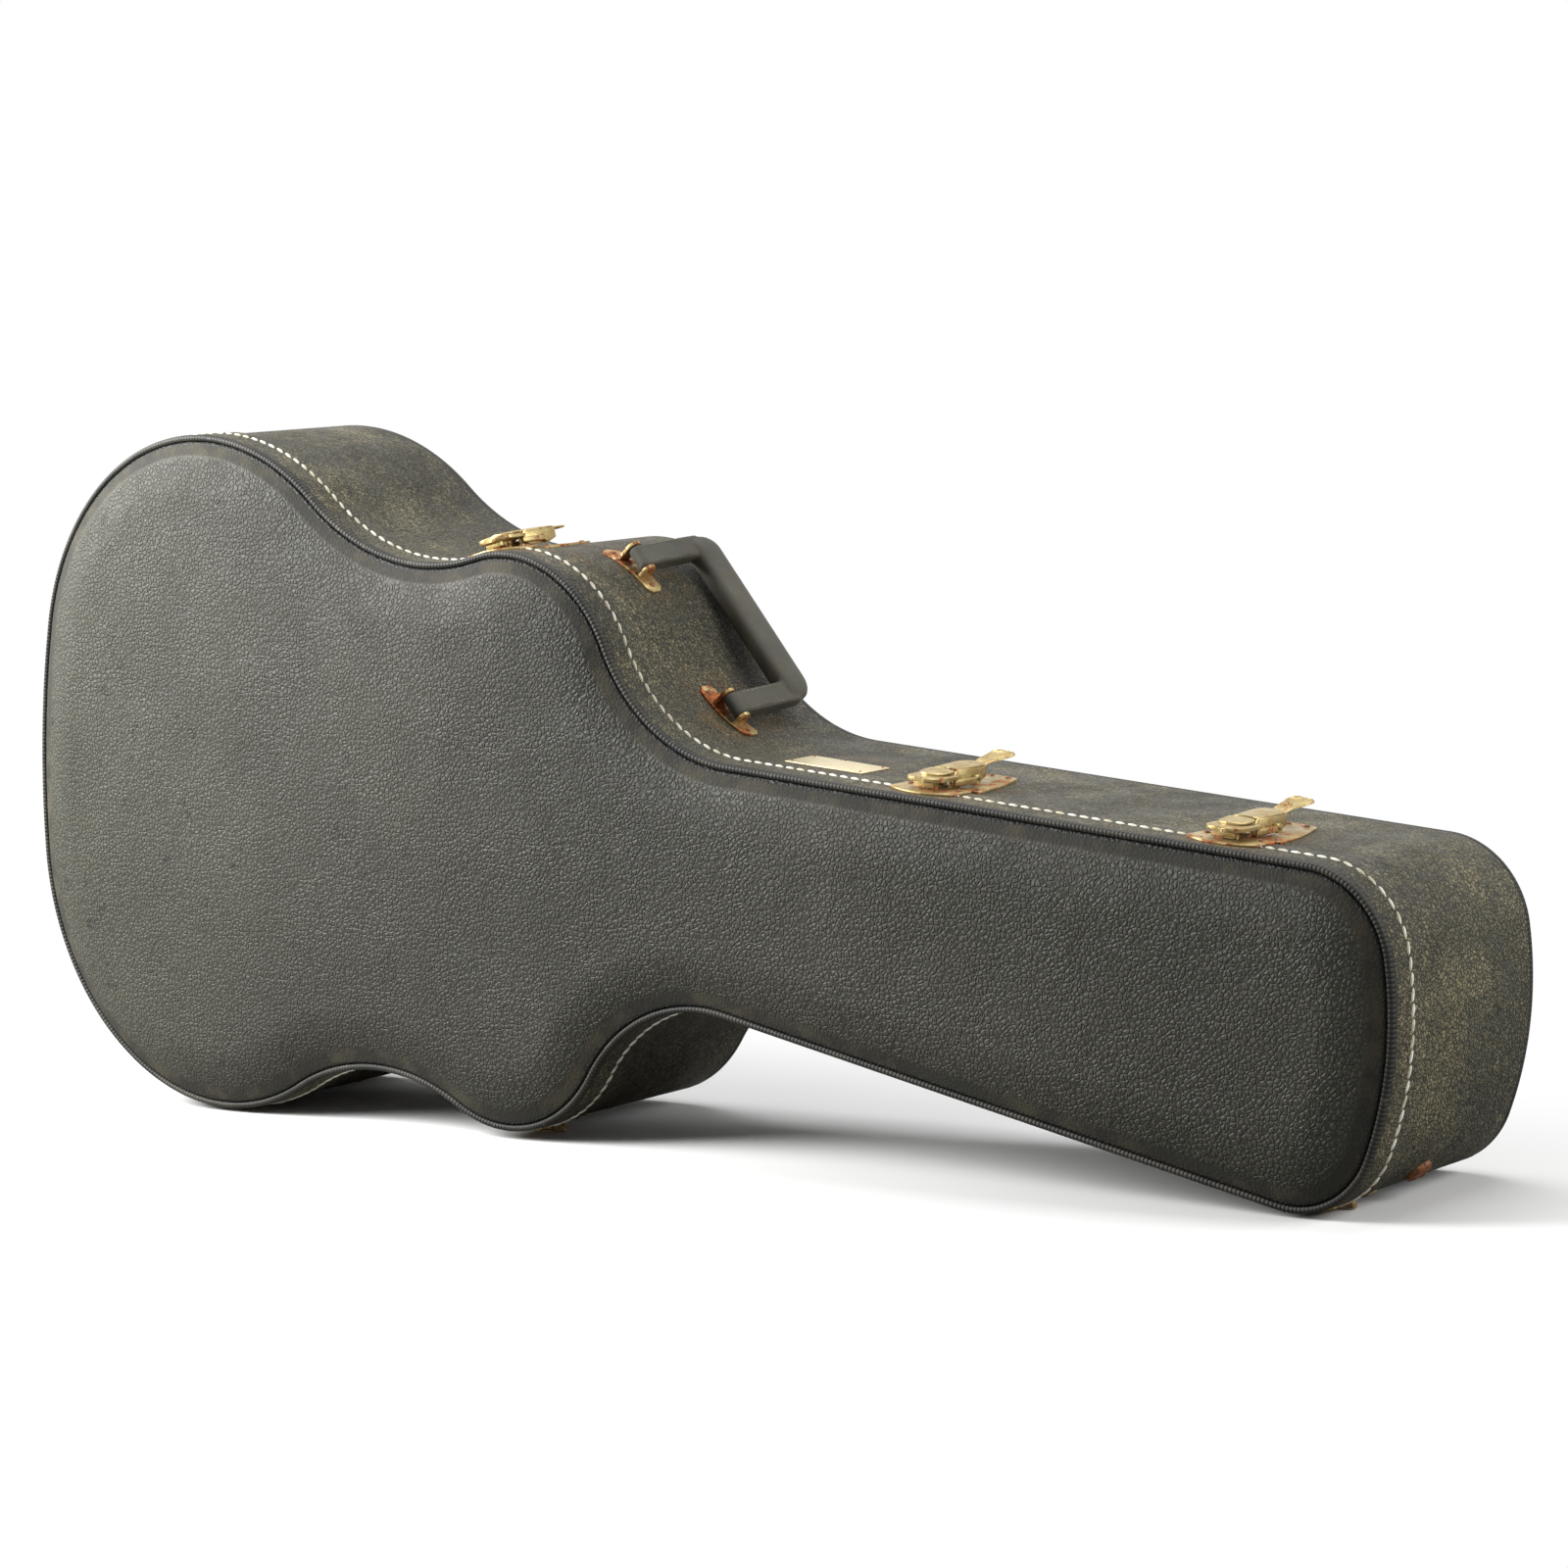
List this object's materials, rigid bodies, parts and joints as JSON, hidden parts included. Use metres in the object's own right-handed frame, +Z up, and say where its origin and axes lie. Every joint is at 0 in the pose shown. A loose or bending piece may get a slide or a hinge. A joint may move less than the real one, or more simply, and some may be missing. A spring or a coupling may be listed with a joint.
{
  "type": "guitar case",
  "caption": "Hard-shell guitar case with a hinged crowned lid, draw latches, a folding carrying handle and a lined interior with an accessory box.",
  "frame": {"origin": "middle of the case's length and depth, on the surface that its feet stand on", "axes": "+X along the level line towards the head end, +Y from the lid towards the back, +Z up, with the case standing on its hinge side"},
  "size_m": [1.0572, 0.156, 0.4358],
  "materials": {
    "panel_vinyl": "pebbled vinyl cloth, worn",
    "rim_vinyl": "fine grained vinyl cloth, scuffed",
    "welt": "ribbed vinyl piping",
    "plush": "short pile plush",
    "brass": "dull, tarnished",
    "pin_steel": "plain",
    "rusty_steel": "rusted",
    "handle_leather": "worn black leather"
  },
  "bodies": {
    "body": {"back_panel": "panel_vinyl", "body_rim": "rim_vinyl", "back_welt": "welt", "body_lip": "plush", "body_lining": "plush", "neck_rest": "plush", "box_wall_bout": "plush", "box_wall_head": "plush", "box_shelf": "plush", "box_pin": "pin_steel", "label_plate": "brass", "label_nails": "brass", "handle_plate_upper": "brass", "handle_plate_lower": "brass", "handle_rivets": "brass", "handle_pins": "rusty_steel", "feet": "rusty_steel", "glide_head": "rusty_steel", "hinge_body_tail": "brass", "hinge_body_bout": "brass", "hinge_body_head": "brass", "hinge_pin_tail": "pin_steel", "hinge_pin_bout": "pin_steel", "hinge_pin_head": "pin_steel", "hinge_body_rivets": "brass", "latch_base_tail": "brass", "latch_base_bout": "brass", "latch_base_neck": "brass", "latch_base_head": "brass", "latch_base_rivets": "brass", "lever_pins": "pin_steel"},
    "lid": {"lid_panel": "panel_vinyl", "lid_rim": "rim_vinyl", "lid_rim_head": "rim_vinyl", "lid_welt": "welt", "lid_lining": "plush", "hinge_lid_tail": "brass", "hinge_lid_bout": "brass", "hinge_lid_head": "brass", "hinge_lid_rivets": "brass", "catch_tail": "brass", "catch_bout": "brass", "catch_neck": "brass", "catch_head": "brass", "catch_rivets": "brass"},
    "lever_tail": {"lever_tail": "brass", "bail_pin_tail": "pin_steel"},
    "bail_tail": {"bail_tail": "brass"},
    "lever_bout": {"lever_bout": "brass", "bail_pin_bout": "pin_steel"},
    "bail_bout": {"bail_bout": "brass"},
    "lever_neck": {"lever_neck": "brass", "bail_pin_neck": "pin_steel"},
    "bail_neck": {"bail_neck": "brass"},
    "lever_head": {"lever_head": "brass", "bail_pin_head": "pin_steel"},
    "bail_head": {"bail_head": "brass"},
    "handle": {"handle_grip": "handle_leather"},
    "box_flap": {"box_flap": "plush", "flap_pull": "handle_leather"}
  },
  "joints": [
    {"name": "lid_hinge", "type": "hinge", "parent": "body", "child": "lid", "pos_m": [0, -0.0369, 0.0022], "axis": [1, 0, 0], "range_deg": [0, 110]},
    {"name": "tail_latch_lever", "type": "hinge", "parent": "body", "child": "lever_tail", "pos_m": [-0.4994, -0.0309, 0.3507], "axis": [0.4581, 0, 0.8889], "range_deg": [0, 100]},
    {"name": "tail_latch_bail", "type": "hinge", "parent": "lever_tail", "child": "bail_tail", "pos_m": [-0.49851, -0.0189, 0.35024], "axis": [0.4581, 0, 0.8889], "range_deg": [-112, 0]},
    {"name": "bout_latch_lever", "type": "hinge", "parent": "body", "child": "lever_bout", "pos_m": [-0.10205, -0.0309, 0.36046], "axis": [0.9825, 0, 0.1863], "range_deg": [0, 100]},
    {"name": "bout_latch_bail", "type": "hinge", "parent": "lever_bout", "child": "bail_bout", "pos_m": [-0.10186, -0.0189, 0.35948], "axis": [0.9825, 0, 0.1863], "range_deg": [-112, 0]},
    {"name": "neck_latch_lever", "type": "hinge", "parent": "body", "child": "lever_neck", "pos_m": [0.219, -0.0309, 0.22158], "axis": [0.9935, 0, -0.114], "range_deg": [0, 100]},
    {"name": "neck_latch_bail", "type": "hinge", "parent": "lever_neck", "child": "bail_neck", "pos_m": [0.21888, -0.0189, 0.22059], "axis": [0.9935, 0, -0.114], "range_deg": [-112, 0]},
    {"name": "head_latch_lever", "type": "hinge", "parent": "body", "child": "lever_head", "pos_m": [0.41927, -0.0309, 0.19861], "axis": [0.9935, 0, -0.114], "range_deg": [0, 100]},
    {"name": "head_latch_bail", "type": "hinge", "parent": "lever_head", "child": "bail_head", "pos_m": [0.41916, -0.0189, 0.19761], "axis": [0.9935, 0, -0.114], "range_deg": [-112, 0]},
    {"name": "handle_swing", "type": "hinge", "parent": "body", "child": "handle", "pos_m": [0.00531, -0.0034, 0.30219], "axis": [0.6083, 0, -0.7937], "range_deg": [0, 165]},
    {"name": "box_flap_hinge", "type": "hinge", "parent": "body", "child": "box_flap", "pos_m": [0.07552, 0.012, 0.15096], "axis": [-0.9896, 0, 0.1437], "range_deg": [0, 95]}
  ],
  "couplings": [
    {"joint": "tail_latch_bail", "follows": "tail_latch_lever", "ratio": -1.1},
    {"joint": "bout_latch_bail", "follows": "bout_latch_lever", "ratio": -1.1},
    {"joint": "neck_latch_bail", "follows": "neck_latch_lever", "ratio": -1.1},
    {"joint": "head_latch_bail", "follows": "head_latch_lever", "ratio": -1.1}
  ]
}
